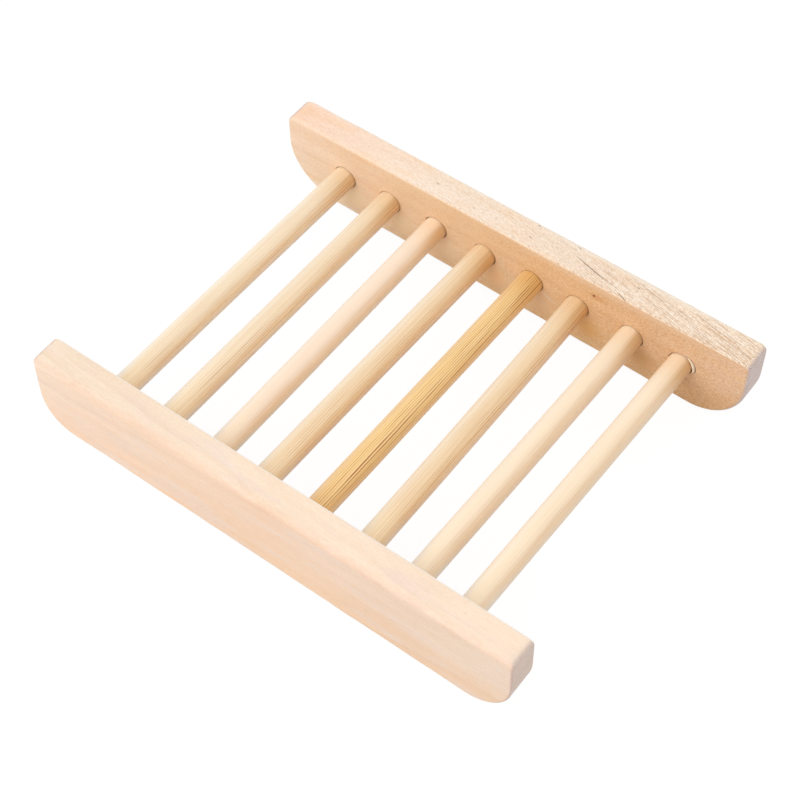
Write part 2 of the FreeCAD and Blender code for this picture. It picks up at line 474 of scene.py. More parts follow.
crescent_tree, given, made = new_tree("crescent", "GeometryNodeTree", {
    "Geometry": GEOMETRY, "Middle": (0, 0, 0), "Radius": 1.0, "Start": 0.0, "Sweep": 1.0, "Width": 0.1,
    "Depth": 0.1, "Point": 0.0, "Raggedness": 0.0, "Finish": MATERIAL,
}, {"Geometry": GEOMETRY})
tree = crescent_tree
arc = put(tree, "GeometryNodeCurveArc", {"Resolution": 48, "Radius": given["Radius"],
                                         "Start Angle": given["Start"], "Sweep Angle": given["Sweep"]})
upright = put(tree, "GeometryNodeSetCurveNormal", {"Curve": arc.outputs[0]}, mode="Z_UP")
circle = put(tree, "GeometryNodeCurvePrimitiveCircle", {"Resolution": 20, "Radius": 1.0})
half_sizes = vector_of(tree, times(tree, given["Width"], 0.5), times(tree, given["Depth"], 0.5), 1.0)
oval = put(tree, "GeometryNodeTransform", {0: circle.outputs[0], "Scale": half_sizes})

# both ends are rounded off, and the upper one is drawn out as far as Point says
share = put(tree, "GeometryNodeSplineParameter").outputs["Factor"]
rounded = remap(tree, share, 0.0, 0.10, 0.35, 1.0)
upper = maths(tree, "MAXIMUM", times(tree, given["Point"], 0.9), 0.1)
drawn_out = remap(tree, share, complement(tree, upper), 1.0, 1.0, 0.2, smooth=False)
sweep = put(tree, "GeometryNodeCurveToMesh", {
    "Curve": upright.outputs[0], "Profile Curve": oval.outputs[0],
    "Scale": times(tree, rounded, drawn_out), "Fill Caps": True})
ragged = roughen(tree, sweep.outputs[0], own_place(tree), RAGGED_SQUASH, 0.5, given["Raggedness"])
stood = put(tree, "GeometryNodeTransform", {0: ragged, "Translation": given["Middle"],
                                            "Rotation": STOOD_UP})
end_tree(tree, stood.outputs[0], (), given["Finish"], made)

# %% The groove and its sliver
TEAR_START = math.radians(-16)
TEAR_SWEEP = math.radians(96)
SLIVER_DELAY = 0.04
SLIVER_SWEEP_SHARE = 0.86
GROOVE = {"Radius": 3.12 * MM, "Start": TEAR_START, "Sweep": TEAR_SWEEP,
          "Width": 0.92 * MM, "Depth": 1.4 * MM, "Point": 0.4}
GROOVE_SHIFT = Vector((0.1, 0, 0.06)) * MM
SLIVER = {"Radius": 3.07 * MM, "Start": TEAR_START + SLIVER_DELAY,
          "Sweep": TEAR_SWEEP * SLIVER_SWEEP_SHARE, "Width": 0.5 * MM, "Depth": 0.9 * MM,
          "Point": 0.5, "Raggedness": 0.12 * MM}
SLIVER_SHIFT = Vector((0.1, 0.06, 0.06)) * MM

last_near, last_far = axis_ends(RUNGS[-1])
back_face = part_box("back_rail")[0].y
socket = last_near.lerp(last_far, (back_face - last_near.y) / (last_far.y - last_near.y))
groove = grow("groove", crescent_tree, {**GROOVE, "Middle": socket + GROOVE_SHIFT})
sliver = grow("torn_sliver", crescent_tree, {**SLIVER, "Middle": socket + SLIVER_SHIFT,
                                             "Finish": FINISHES["torn_fibre"]})
drill = join(bits + [groove], "drill")
print("drill faces:", len(drill.data.polygons), "| sliver faces:", len(sliver.data.polygons))

# %% [markdown]
# ## The rails
#
# A rail is a board with large round lower corners, cut out along a pencil line and then eased all round
# with sandpaper. Bevelling a box would give every edge the same machine-made round, and the real ones
# differ: the lower corners are ovals, no two alike, and one rail is sanded softer at its left end.
# So Python draws the pencil line, and the tree follows it. For every point of the line and every step
# round the eased edges, it works out how far in and how far up the surface lies. The flat faces are
# filled in, the board is stood up, and the drill is taken out of it.

# %% The board tree: a strip of cells
board_tree, given, made = new_tree("board", "GeometryNodeTree", {
    "Outline": GEOMETRY, "Thickness": 1.0, "Inner Easing": 0.1, "Outer Easing": 0.1, "Wander": 0.0,
    "Seed": 0.0, "Steps Round": 600, "Steps Per Edge": 8, "Inner Face": 0.0, "Half Turn": 0.0,
    "Drill": OBJECT, "Finish": MATERIAL,
}, {"Geometry": GEOMETRY})
tree = board_tree

# X follows the outline, Y goes from the inner face over both eased edges to the outer one
rows = times(tree, given["Steps Per Edge"], 2.0)
strip = put(tree, "GeometryNodeMeshGrid", {"Size X": 1.0, "Size Y": 1.0,
                                           "Vertices X": given["Steps Round"], "Vertices Y": rows})
cell = split(tree, own_place(tree))
cell_row = times(tree, plus(tree, cell[1], 0.5), minus(tree, rows, 1.0))
numbered = keep(tree, strip.outputs[0], "row", maths(tree, "ROUND", cell_row))
numbered = keep(tree, numbered, "round_share", plus(tree, cell[0], 0.5, clamp=True))
row = kept(tree, "row")

# the pencil line is followed at the same share of its length
pencil = put(tree, "GeometryNodeMeshToCurve", {0: given["Outline"]})
sample = put(tree, "GeometryNodeSampleCurve",
             {"Curves": pencil.outputs[0], "Value": kept(tree, "softness"),
              "Factor": kept(tree, "round_share")}, mode="FACTOR").outputs
outward = vectors(tree, "CROSS_PRODUCT", sample["Tangent"], (0, 0, 1))

# %% The board tree: the eased edges
ROUGH_SQUASH = (90.0, 90.0, 90.0)
DRIFT_SQUASH = (45.0, 70.0, 1.0)
DRIFT_SEED = 7.3


def seeded_noise(tree, place, squash, seed, detail):
    """Noise in a plane, in a different layer for each seed."""
    squashed = vectors(tree, "MULTIPLY", place, squash)
    return noise(tree, vectors(tree, "ADD", squashed, vector_of(tree, z=seed)), detail)


def short_of(tree, radius, operation, angle):
    """How far a point on a quarter circle falls short of the corner, one way."""
    return times(tree, radius, complement(tree, maths(tree, operation, angle)))


# the easing's radius at this point, softer where the outline says so, and a little uneven
rough = seeded_noise(tree, sample["Position"], ROUGH_SQUASH, given["Seed"], detail=2.0)
soft = times(tree, sample["Value"], remap(tree, rough, 0.25, 0.75, 0.85, 1.15, smooth=False))
inner_radius = times(tree, given["Inner Easing"], soft)
outer_radius = times(tree, given["Outer Easing"], soft)

# two quarter turns: the first climbs off the inner face, the second lands on the outer one
last_step = minus(tree, given["Steps Per Edge"], 1.0)
first_share = over(tree, row, last_step, clamp=True)
second_share = over(tree, minus(tree, row, given["Steps Per Edge"]), last_step, clamp=True)
first = times(tree, first_share, QUARTER_TURN)
second = times(tree, second_share, QUARTER_TURN)
inset = plus(tree, short_of(tree, inner_radius, "SINE", first),
             short_of(tree, outer_radius, "COSINE", second))
inner_height = short_of(tree, inner_radius, "COSINE", first)
outer_height = minus(tree, given["Thickness"], short_of(tree, outer_radius, "SINE", second))
is_outer = maths(tree, "GREATER_THAN", row, minus(tree, given["Steps Per Edge"], 0.5))
height = between(tree, is_outer, inner_height, outer_height)

# the outline itself wanders a little inwards, as a line followed by hand does
drift = seeded_noise(tree, sample["Position"], DRIFT_SQUASH, plus(tree, given["Seed"], DRIFT_SEED),
                     detail=1.0)
wander = times(tree, remap(tree, drift, 0.3, 0.7, smooth=False), given["Wander"])
inwards = scaled(tree, outward, times(tree, plus(tree, inset, wander), -1.0))
surface = vectors(tree, "ADD", vectors(tree, "ADD", sample["Position"], inwards),
                  vector_of(tree, z=height))

# for the material: 1 along the middle of each eased edge, and 0 where a flat side begins
edge_turn = maths(tree, "SINE", times(tree, plus(tree, first_share, second_share), math.pi))
eased = keep(tree, numbered, "easing", maths(tree, "ABSOLUTE", edge_turn))
belt = put(tree, "GeometryNodeSetPosition", {"Geometry": eased, "Position": surface})
belt = weld(tree, belt.outputs[0])

# %% The board tree: the flat faces, its place, and the drill
rims = []
last_row = minus(tree, rows, 1.5)
for chosen in (maths(tree, "LESS_THAN", row, 0.5), maths(tree, "GREATER_THAN", row, last_row)):
    rim = put(tree, "GeometryNodeMeshToCurve", {0: belt, 1: chosen})
    rims.append(put(tree, "GeometryNodeFillCurve", {0: rim.outputs[0]}, mode="NGONS").outputs[0])

# a filled curve lands at height 0, facing up
inner_face = put(tree, "GeometryNodeFlipFaces", {0: rims[0]})
lift = vector_of(tree, z=given["Thickness"])
outer_face = put(tree, "GeometryNodeTransform", {0: rims[1], "Translation": lift})
board = put(tree, "GeometryNodeJoinGeometry")
for part in (belt, inner_face.outputs[0], outer_face.outputs[0]):
    tree.links.new(part, board.inputs[0])
closed = weld(tree, board.outputs[0], 2 * WELD_DISTANCE)

# it is stood up, moved to its place, and turned to face the other rail
stood = put(tree, "GeometryNodeTransform", {0: closed, "Rotation": STOOD_UP})
offset = vector_of(tree, y=times(tree, given["Inner Face"], -1.0))
moved = put(tree, "GeometryNodeTransform", {0: stood.outputs[0], "Translation": offset})
spin = vector_of(tree, z=given["Half Turn"])
facing = put(tree, "GeometryNodeTransform", {0: moved.outputs[0], "Rotation": spin})

bores = put(tree, "GeometryNodeObjectInfo", {"Object": given["Drill"]}, transform_space="RELATIVE")
drilled = put(tree, "GeometryNodeMeshBoolean", {
    "Mesh 1": facing.outputs[0], "Mesh 2": bores.outputs["Geometry"], "Self Intersection": True,
}, operation="DIFFERENCE", solver="EXACT")
end_tree(tree, weld(tree, drilled.outputs[0]),
         ("row", "round_share", "softness", "grain_place", "gold"), given["Finish"], made)

# %% [markdown]
# The pencil line is drawn as each board is seen from its outside. Its corners are quarter ovals. Each is
# given as a width, a height, and how soft the sandpaper left the edges at the board's short end and on
# its long side: the long edges were sanded round, and the sawn ends stayed rather crisp.

# %% The pencil lines
ARC_STEPS = 20


def pencil_line(name, length, height, corners, lean, rise):
    """A closed outline, anticlockwise. The left end leans inwards; the right end's foot is cut higher."""
    places = (("lower_right", 1, -1, -90), ("upper_right", 1, 1, 0),
              ("upper_left", -1, 1, 90), ("lower_left", -1, -1, 180))
    points = []
    softness = []
    for corner, right, top, start in places:
        wide, tall = (size * MM for size in corners[corner][:2])
        at_end, on_side = corners[corner][2:]
        first, last = (at_end, on_side) if start in (0, 180) else (on_side, at_end)
        middle_x = right * (length / 2 - wide) + (lean if corner == "upper_left" else 0)
        middle_y = tall if top < 0 else height - tall
        middle_y += rise if corner == "lower_right" else 0
        for step in range(ARC_STEPS + 1):
            angle = math.radians(start + 90 * step / ARC_STEPS)
            points.append((middle_x + wide * math.cos(angle), middle_y + tall * math.sin(angle), 0))
            softness.append(first + (last - first) * step / ARC_STEPS)
    mesh = bpy.data.meshes.new(name)
    mesh.from_pydata(points, [(i, (i + 1) % len(points)) for i in range(len(points))], [])
    mesh.attributes.new("softness", "FLOAT", "POINT").data.foreach_set("value", softness)
    return mesh


# %% The two rails
RAIL_WANDER = 0.05 * MM
RAILS = {
    "front_rail": {
        "corners": {"lower_left": (7.4, 9.0, 0.9, 1.1), "lower_right": (10.4, 12.6, 0.35, 0.9),
                    "upper_left": (2.4, 1.9, 1.0, 1.1), "upper_right": (1.9, 1.5, 0.4, 1.1)},
        "lean": 0.3 * MM, "rise": 0.0, "inner_easing": 0.55 * MM, "outer_easing": 1.4 * MM,
        "half_turn": 0.0, "seed": 3.0, "finish": "front_rail_beech"},
    # seen from its outside, the back rail's left end is the dish's right end
    "back_rail": {
        "corners": {"lower_left": (12.0, 13.4, 1.5, 1.8), "lower_right": (13.4, 12.8, 1.4, 2.0),
                    "upper_left": (1.5, 1.3, 1.4, 0.6), "upper_right": (2.6, 2.0, 1.5, 1.6)},
        "lean": 0.0, "rise": 0.8 * MM, "inner_easing": 0.6 * MM, "outer_easing": 0.7 * MM,
        "half_turn": math.pi, "seed": 11.0, "finish": "back_rail_beech"},
}


def extent(mesh):
    """A mesh's length, depth and height in millimetres."""
    spans = zip(*(vertex.co for vertex in mesh.vertices))
    return [round((max(span) - min(span)) / MM, 2) for span in spans]


rails = {}
for name, about in RAILS.items():
    low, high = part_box(name)
    line = pencil_line(name + "_line", high.x - low.x, high.z, about["corners"],
                       about["lean"], about["rise"])
    rail = grow(name + "_board", board_tree, {
        "Thickness": high.y - low.y, "Wander": RAIL_WANDER, "Seed": about["seed"],
        "Inner Easing": about["inner_easing"], "Outer Easing": about["outer_easing"],
        "Steps Round": 640, "Steps Per Edge": 8, "Inner Face": min(abs(low.y), abs(high.y)),
        "Half Turn": about["half_turn"], "Drill": drill, "Finish": FINISHES[about["finish"]]}, line)
    rail.data.polygons.foreach_set("use_smooth", [True] * len(rail.data.polygons))
    rail.data.set_sharp_from_angle(angle=SMOOTH_ANGLE)
    weighted = rail.modifiers.new("weighted", "WEIGHTED_NORMAL")
    weighted.keep_sharp = True
    rails[name] = bake(rail)
    print(name, "mm:", extent(rail.data), "faces:", len(rail.data.polygons))
bpy.data.objects.remove(drill)

# %% [markdown]
# ## What wood is made of
#
# Raw sanded wood is matte, so nearly everything that makes it look like wood is in its colour: growth
# rings, long fibres, short dark pores, slow clouds of tone, and a different face wherever the fibres
# end. Each of these is one shader group, built once and mixed in its own measure into every wood on the
# dish. An image could show them too, but it would stretch round the corners. These are solid patterns,
# which the surface cuts through like the real thing: the rings that run along a face turn into arcs on
# the board's end. In all of them X runs along the grain.


# %% Placing a group
def use(tree, group, inputs, output):
    """A group's named output, with its inputs fed."""
    return put(tree, "ShaderNodeGroup", inputs, node_tree=group).outputs[output]


# %% Group: stretched noise, the base of every fibre
stretched, given, made = new_tree("stretched_noise", "ShaderNodeTree", {
    "Vector": VECTOR, "Along": 0.01, "Across": 0.001, "Detail": 2.0, "Seed": 0.0,
}, {"Value": NUMBER})
tree = stretched
across = over(tree, 1.0, given["Across"])
scale = vector_of(tree, over(tree, 1.0, given["Along"]), across, across)
seeds = vector_of(tree, given["Seed"], given["Seed"], given["Seed"])
spot = vectors(tree, "ADD", vectors(tree, "MULTIPLY", given["Vector"], scale), seeds)
tree.links.new(noise(tree, spot, given["Detail"], roughness=0.55), made["Value"])


def pulled(tree, vector, along, across, detail=2.0, seed=0.0):
    """The stretched noise, with its sizes in millimetres."""
    return use(tree, stretched, {"Vector": vector, "Along": along * MM, "Across": across * MM,
                                 "Detail": detail, "Seed": seed}, "Value")


# %% Group: short strokes, for pores, rays and fibres that show as lines
strokes, given, made = new_tree("fine_strokes", "ShaderNodeTree", {
    "Vector": VECTOR, "Along": 0.002, "Across": 0.0002, "Cover": 0.2, "Seed": 0.0,
}, {"Mask": NUMBER})
tree = strokes
value = use(tree, stretched, {"Vector": given["Vector"], "Along": given["Along"],
                              "Across": given["Across"], "Detail": 1.0, "Seed": given["Seed"]}, "Value")
level = remap(tree, given["Cover"], 0.0, 1.0, 0.76, 0.36, smooth=False)
tree.links.new(remap(tree, value, level, plus(tree, level, 0.10)), made["Mask"])

# %% Group: the fibre bundles of a bamboo stick, side by side all the way round it
bundle_group, given, made = new_tree("fibre_bundles", "ShaderNodeTree", {
    "Vector": VECTOR, "Count": 40.0, "Sharpness": 0.5, "Seed": 0.0,
}, {"Mask": NUMBER})
tree = bundle_group
parts = split(tree, given["Vector"])
turn = over(tree, maths(tree, "ARCTAN2", parts[2], parts[1]), 2 * math.pi)
sway = pulled(tree, given["Vector"], along=60, across=2.5, seed=given["Seed"])
swayed = plus(tree, times(tree, turn, given["Count"]), times(tree, sway, 2.5))
ridge = maths(tree, "PINGPONG", swayed, 0.5)
sharp = remap(tree, ridge, times(tree, given["Sharpness"], 0.4), 0.45)
# no two bundles are equally dark, and each comes and goes along the stick
own = lot(tree, maths(tree, "FLOOR", swayed))
lasting = pulled(tree, given["Vector"], along=12, across=0.5, seed=given["Seed"])
strength = times(tree, remap(tree, own, 0.0, 1.0, 0.35, 1.0, smooth=False),
                 remap(tree, lasting, 0.38, 0.58, 0.45, 1.0))
tree.links.new(times(tree, sharp, strength), made["Mask"])

# %% Group: growth rings about a pith that lies outside the board
ring_group, given, made = new_tree("growth_rings", "ShaderNodeTree", {
    "Vector": VECTOR, "Pith": (0, 0, 0), "Spacing": 0.002, "Wobble": 0.001,
}, {"Late Wood": NUMBER})
tree = ring_group
from_pith = vectors(tree, "SUBTRACT", given["Vector"], given["Pith"])
wave = pulled(tree, given["Vector"], along=50, across=11)
away = plus(tree, vectors(tree, "LENGTH", vectors(tree, "MULTIPLY", from_pith, (0.0, 1.0, 1.0))),
            times(tree, minus(tree, wave, 0.5), given["Wobble"]))
turns = over(tree, away, given["Spacing"])
year = maths(tree, "FRACT", turns)
# a ring darkens slowly through its summer and ends sharply, and no two summers are alike
summer = lot(tree, maths(tree, "FLOOR", turns))
late = times(tree, maths(tree, "POWER", year, 2.5), remap(tree, year, 0.9, 1.0, 1.0, 0.0))
tree.links.new(times(tree, late, remap(tree, summer, 0.0, 1.0, 0.3, 1.0)), made["Late Wood"])

# %% Group: one mark at a named place, such as a knot or a fleck
mark_group, given, made = new_tree("one_mark", "ShaderNodeTree", {
    "Vector": VECTOR, "Place": (0, 0, 0), "Size": (0.001, 0.001, 0.001), "Turn": (0, 0, 0), "Edge": 0.5,
}, {"Mask": NUMBER})
tree = mark_group
from_mark = vectors(tree, "SUBTRACT", given["Vector"], given["Place"])
turned = put(tree, "ShaderNodeVectorRotate", {"Vector": from_mark, "Rotation": given["Turn"]},
             rotation_type="EULER_XYZ", invert=True)
reach = vectors(tree, "LENGTH", vectors(tree, "DIVIDE", turned.outputs[0], given["Size"]))
tree.links.new(remap(tree, reach, complement(tree, given["Edge"]), 1.0, 1.0, 0.0), made["Mask"])

# %% Group: which way a surface faces on the piece, softly
facing_group, given, made = new_tree("facing", "ShaderNodeTree", {
    "Direction": (0, 0, 1), "None At": 0.3, "Full At": 0.75,
}, {"Mask": NUMBER})
tree = facing_group
normal = put(tree, "ShaderNodeTexCoord").outputs["Normal"]
towards = vectors(tree, "DOT_PRODUCT", normal, given["Direction"])
tree.links.new(remap(tree, towards, given["None At"], given["Full At"]), made["Mask"])

# %% Group: a colour that darkens and pales about its own mean
swing_group, given, made = new_tree("swing", "ShaderNodeTree", {
    "Color": COLOUR, "Value": 0.5, "Middle": 0.5, "Swing": (0.1, 0.1, 0.1),
}, {"Color": COLOUR})
tree = swing_group
darker = scaled(tree, given["Swing"], minus(tree, given["Value"], given["Middle"]))
factor = vectors(tree, "SUBTRACT", (1.0, 1.0, 1.0), darker)
tree.links.new(vectors(tree, "MULTIPLY", given["Color"], factor), made["Color"])
print("groups:", ", ".join(group.name for group in bpy.data.node_groups if group.type == "SHADER"))

# %% [markdown]
# A pattern that only ever darkened would leave the wood duller than the colour that was chosen for it.
# So the slow patterns swing about the mean instead, and blue swings most, because darker wood is also
# warmer wood. Pores and marks are few, so they simply darken.


# %% Helpers that mix colours
def srgb(red, green, blue):
    """A colour as a screen shows it, 0 to 255, made linear."""
    def linear(value):
        value /= 255
        return value / 12.92 if value <= 0.04045 else ((value + 0.055) / 1.055) ** 2.4
    return (linear(red), linear(green), linear(blue), 1.0)


def blend(tree, share, first, second, mode="MIX"):
    """A colour between two others, or one laid over another."""
    return put(tree, "ShaderNodeMix", {0: share, 6: first, 7: second}, data_type="RGBA", blend_type=mode,
               clamp_factor=True).outputs[2]


def stain(tree, share, tone, colour):
    """A colour under a thin stain, which darkens it by as much as the stain differs from white."""
    return blend(tree, share, tone, blend(tree, 1.0, tone, srgb(*colour), "MULTIPLY"))


SWING_SHARES = (0.35, 0.65, 1.0)


def swing(tree, tone, value, amount, middle=0.5):
    """Darkens a colour where a pattern is over its middle, and pales it where it is under."""
    return use(tree, swing_group, {"Color": tone, "Value": value, "Middle": middle,
                                   "Swing": tuple(amount * share for share in SWING_SHARES)}, "Color")


# %% Helpers that place a pattern
def stretch(tree, vector, along, across, detail, seed):
    """The stretched noise, with its sizes in millimetres, spread over the range 0 to 1."""
    return remap(tree, pulled(tree, vector, along, across, detail, seed), 0.3, 0.7, smooth=False)


def dashes(tree, vector, along, across, cover, seed):
    """The strokes, with their sizes in millimetres."""
    return use(tree, strokes, {"Vector": vector, "Along": along * MM, "Across": across * MM,
                               "Cover": cover, "Seed": seed}, "Mask")


def faces(tree, direction, none_at=0.3, full_at=0.75):
    """How far the surface faces one way."""
    return use(tree, facing_group, {"Direction": direction, "None At": none_at, "Full At": full_at}, "Mask")


def carried(tree, name, output="Fac"):
    """A value that the piece's own points carry, stored by the tree that made it."""
    return put(tree, "ShaderNodeAttribute", attribute_type="GEOMETRY", attribute_name=name).outputs[output]


def object_place(tree):
    """Where a point lies on the dish."""
    return put(tree, "ShaderNodeTexCoord").outputs["Object"]


def turned_place(tree, place, turn):
    """A place in a frame that is turned a little, as grain is."""
    return put(tree, "ShaderNodeMapping", {"Vector": place, "Rotation": turn}).outputs[0]


def rim_sheen_mask(tree, from_low, from_high, to_high):
    """How far a surface is turned away from the viewer, where a painted sheen pales it towards the outline.
    """
    away = put(tree, "ShaderNodeLayerWeight", {0: 0.5}).outputs["Facing"]
    return remap(tree, away, from_low, from_high, 0.0, to_high)


# %% Helpers that open and close a finish
RELIEF_HEIGHT = 0.04 * MM
RELIEF_STRENGTH = 0.25


def bare(name):
    """A finish's emptied tree, with its shader and output wired."""
    material = FINISHES[name]
    material.use_nodes = True
    tree = material.node_tree
    tree.nodes.clear()
    shader = put(tree, "ShaderNodeBsdfPrincipled")
    put(tree, "ShaderNodeOutputMaterial", {0: shader.outputs[0]})
    return tree, shader


def finish(name, tree, shader, tone, rough, relief, level):
    """Feeds the shader: its colour, its roughness, and a fine relief that catches the light."""
    bump = put(tree, "ShaderNodeBump", {"Strength": RELIEF_STRENGTH, "Distance": RELIEF_HEIGHT,
                                        "Height": relief})
    tree.links.new(tone, shader.inputs["Base Color"])
    tree.links.new(rough, shader.inputs["Roughness"])
    tree.links.new(bump.outputs[0], shader.inputs["Normal"])
    shader.inputs["Specular IOR Level"].default_value = level
    print(name, "nodes:", len(tree.nodes))


# %% [markdown]
# ## Beech for the rails
#
# Both rails are the same pale beech, but no two boards are alike. The front one shows a calm, pinkish
# face with soft clouds of tone. The back one shows its pores on top as fine grey-brown strokes, more of
# them towards the right, and its inner face turns from pale to orange along the board, partly its own
# tone and partly painted shade where the rungs shade it. Both long faces are painted darker and warmer
# towards the lower edge, as painted shade. Where a board ends, its fibres point at the viewer: they drink
# up light, so the ends are greyer and duller. The sandpaper left the eased edges paler. The recipe has
# four steps, each a function: the tone of each face, the figure of the wood, its pores, and what hands and
# sandpaper did to it, together with painted highlights on the inner and far edges, painted shade on the
# undersides and a painted sheen towards the outline.

# %% Beech: what both boards share
HALF_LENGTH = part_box("front_rail")[1].x
LOW_FROM = 15 * MM
LOW_TO = 2 * MM
RAY_STAIN = (226, 204, 184)
PORE_STAIN = (204, 186, 172)
UNDERSIDE_SHADE = (240, 224, 210)
RUBBED_AND_LIT_EDGE = (255, 236, 214)
PAINTED_FAR_EDGE_LIGHT = (255, 247, 234)
BEECH_RIM_SHEEN = (238, 229, 218)


def board_places(tree, grain_turn, slant):
    """Where a point lies on a board, and which way it faces: all that the steps of the recipe read."""
    place = object_place(tree)
    parts = split(tree, place)
    return {
        "place": place,
        "grain": turned_place(tree, place, grain_turn),
        "slanted": turned_place(tree, place, (0, 0, slant)),
        "share": remap(tree, parts[0], -HALF_LENGTH, HALF_LENGTH, smooth=False),
        "low": remap(tree, parts[2], LOW_FROM, LOW_TO),
        "up": faces(tree, (0, 0, 1)),
        "ends": plus(tree, faces(tree, (1, 0, 0)), faces(tree, (-1, 0, 0)), clamp=True),
        "easing": carried(tree, "easing"),
    }


# %% Beech: the tone of each face
def along_board(tree, share, colours):
    """A tone that changes from the board's left end to its right end, through evenly spaced colours."""
    ramp = put(tree, "ShaderNodeValToRGB", {0: share})
    elements = ramp.color_ramp.elements
    elements[0].color = srgb(*colours[0])
    elements[1].color = srgb(*colours[-1])
    for index, colour in enumerate(colours[1:-1], start=1):
        elements.new(index / (len(colours) - 1)).color = srgb(*colour)
    return ramp.outputs[0]


def board_tone(tree, at, top, face, low_face_shade, end, patch, patch_weight):
    """The long faces, warmer and darker towards the lower edge as painted shade, then the top, patches, and
    the dotted ends.
    """
    sides = blend(tree, at["low"], along_board(tree, at["share"], face),
                  along_board(tree, at["share"], low_face_shade))
    tone = blend(tree, at["up"], sides, along_board(tree, at["share"], top))
    patches = stretch(tree, at["grain"], along=17, across=3.6, detail=3.0, seed=14.0)
    tone = blend(tree, remap(tree, patches, 0.45, 0.95, 0.0, patch_weight), tone, srgb(*patch))
    dots = stretch(tree, at["place"], along=0.34, across=0.34, detail=2.0, seed=30.0)
    return blend(tree, at["ends"], tone, swing(tree, srgb(*end), dots, 0.24))


# %% Beech: the figure
RING_SPACING = 2.6 * MM
RING_WOBBLE = 5.0 * MM


def board_fibres(tree, at):
    """The long fibres, which the relief reads too."""
    return stretch(tree, at["grain"], along=2.6, across=0.24, detail=3.0, seed=9.0)


def board_figure(tree, at, tone, fibres, pith, look):
    """Clouds, growth rings, fibres, a fine stipple, and rays."""
    clouds = stretch(tree, at["grain"], along=26, across=4.5, detail=3.0, seed=1.0)
    tone = swing(tree, tone, clouds, look["cloud"])
    rings = use(tree, ring_group, {"Vector": at["grain"], "Pith": tuple(value * MM for value in pith),
                                   "Spacing": RING_SPACING, "Wobble": RING_WOBBLE}, "Late Wood")
    ringed = times(tree, rings, remap(tree, at["ends"], 0.0, 1.0, 1.0, 1.6, smooth=False))
    tone = swing(tree, tone, ringed, look["ring"], middle=0.2)
    tone = swing(tree, tone, fibres, look["fibre"])
    stipple = minus(tree, stretch(tree, at["slanted"], along=0.75, across=0.14, detail=1.0, seed=17.0), 0.5)
    coarser = remap(tree, at["share"], 0.1, 0.9, 1.0, look["stipple_growth"])
    tone = swing(tree, tone, times(tree, stipple, coarser), look["stipple"], middle=0.0)
    # rays: short brown spindles, a few on every face
    rays = dashes(tree, at["grain"], along=2.4, across=0.34, cover=0.16, seed=12.0)
    return stain(tree, times(tree, rays, look["ray"]), tone, RAY_STAIN)


# %% Beech: the pores
def board_pores(tree, at, look):
    """Dense and fine pores, with longer ones among them, in one measure on top and another below."""
    fine = dashes(tree, at["slanted"], along=1.2, across=0.13, cover=look["pore_cover"], seed=3.0)
    long = dashes(tree, at["slanted"], along=9.0, across=0.12, cover=look["pore_cover"] * 1.1, seed=21.0)
    pores = maths(tree, "MAXIMUM", times(tree, fine, 0.7),
                  times(tree, long, remap(tree, at["share"], 0.45, 0.85, 0.3, 1.0)))
    on_top = remap(tree, at["share"], 0.15, 0.85, look["pore_left"], look["pore_right"])
    fraying = remap(tree, at["share"], 0.1, 0.6, 0.2 * look["pore_edge"], look["pore_edge"])
    on_top = plus(tree, on_top, times(tree, at["easing"], fraying))
    return times(tree, pores, between(tree, at["up"], look["pore_face"], on_top), clamp=True)


# %% Beech: what hands and sandpaper did, with painted light and shade on its edges
def board_inner_edge(tree, at, tone, rubbed_and_lit):
    """The eased edge over the inner face, rubbed paler and painted with a highlight, more towards the
    right.
    """
    edge = times(tree, faces(tree, (0, -0.7, 0.7), none_at=0.72, full_at=0.95), at["easing"])
    share = times(tree, edge, remap(tree, at["share"], 0.1, 0.9, rubbed_and_lit * 0.3, rubbed_and_lit))
    return blend(tree, share, tone, srgb(*RUBBED_AND_LIT_EDGE))


def board_wear(tree, at, tone, edge):
    """Edges sanded in patches, a painted highlight on the far edge, painted shade on the undersides, and a
    painted sheen towards the outline.
    """
    patches = stretch(tree, at["place"], along=7, across=2, detail=3.0, seed=4.0)
    tone = stain(tree, times(tree, at["easing"], remap(tree, patches, 0.0, 1.0, 0.4, 1.0)), tone, edge)
    # a painted highlight on the eased edge that faces away from the key light
    lit_far_edge = faces(tree, (0, 0.8, 0.6), none_at=0.62, full_at=0.88)
    tone = blend(tree, times(tree, lit_far_edge, at["easing"]), tone, srgb(*PAINTED_FAR_EDGE_LIGHT))
    # painted shade on what faces down
    tone = stain(tree, faces(tree, (0, 0, -1), none_at=0.4, full_at=0.8), tone, UNDERSIDE_SHADE)
    # a painted sheen, paler towards the outline, that stands in for the room's reflection at grazing angles
    rim_sheen = times(tree, complement(tree, at["ends"]), rim_sheen_mask(tree, 0.66, 0.95, 0.65))
    return blend(tree, rim_sheen, tone, srgb(*BEECH_RIM_SHEEN))


# %% Beech: the whole recipe, with the marks that one board alone has
def mark(x, y, z, size, turn=(0, 0, 0), edge=0.6):
    """Where one mark lies on the dish and how large it is, in millimetres."""
    return {"Place": (x * MM, y * MM, z * MM), "Size": tuple(value * MM for value in size),
            "Turn": tuple(math.radians(value) for value in turn), "Edge": edge}


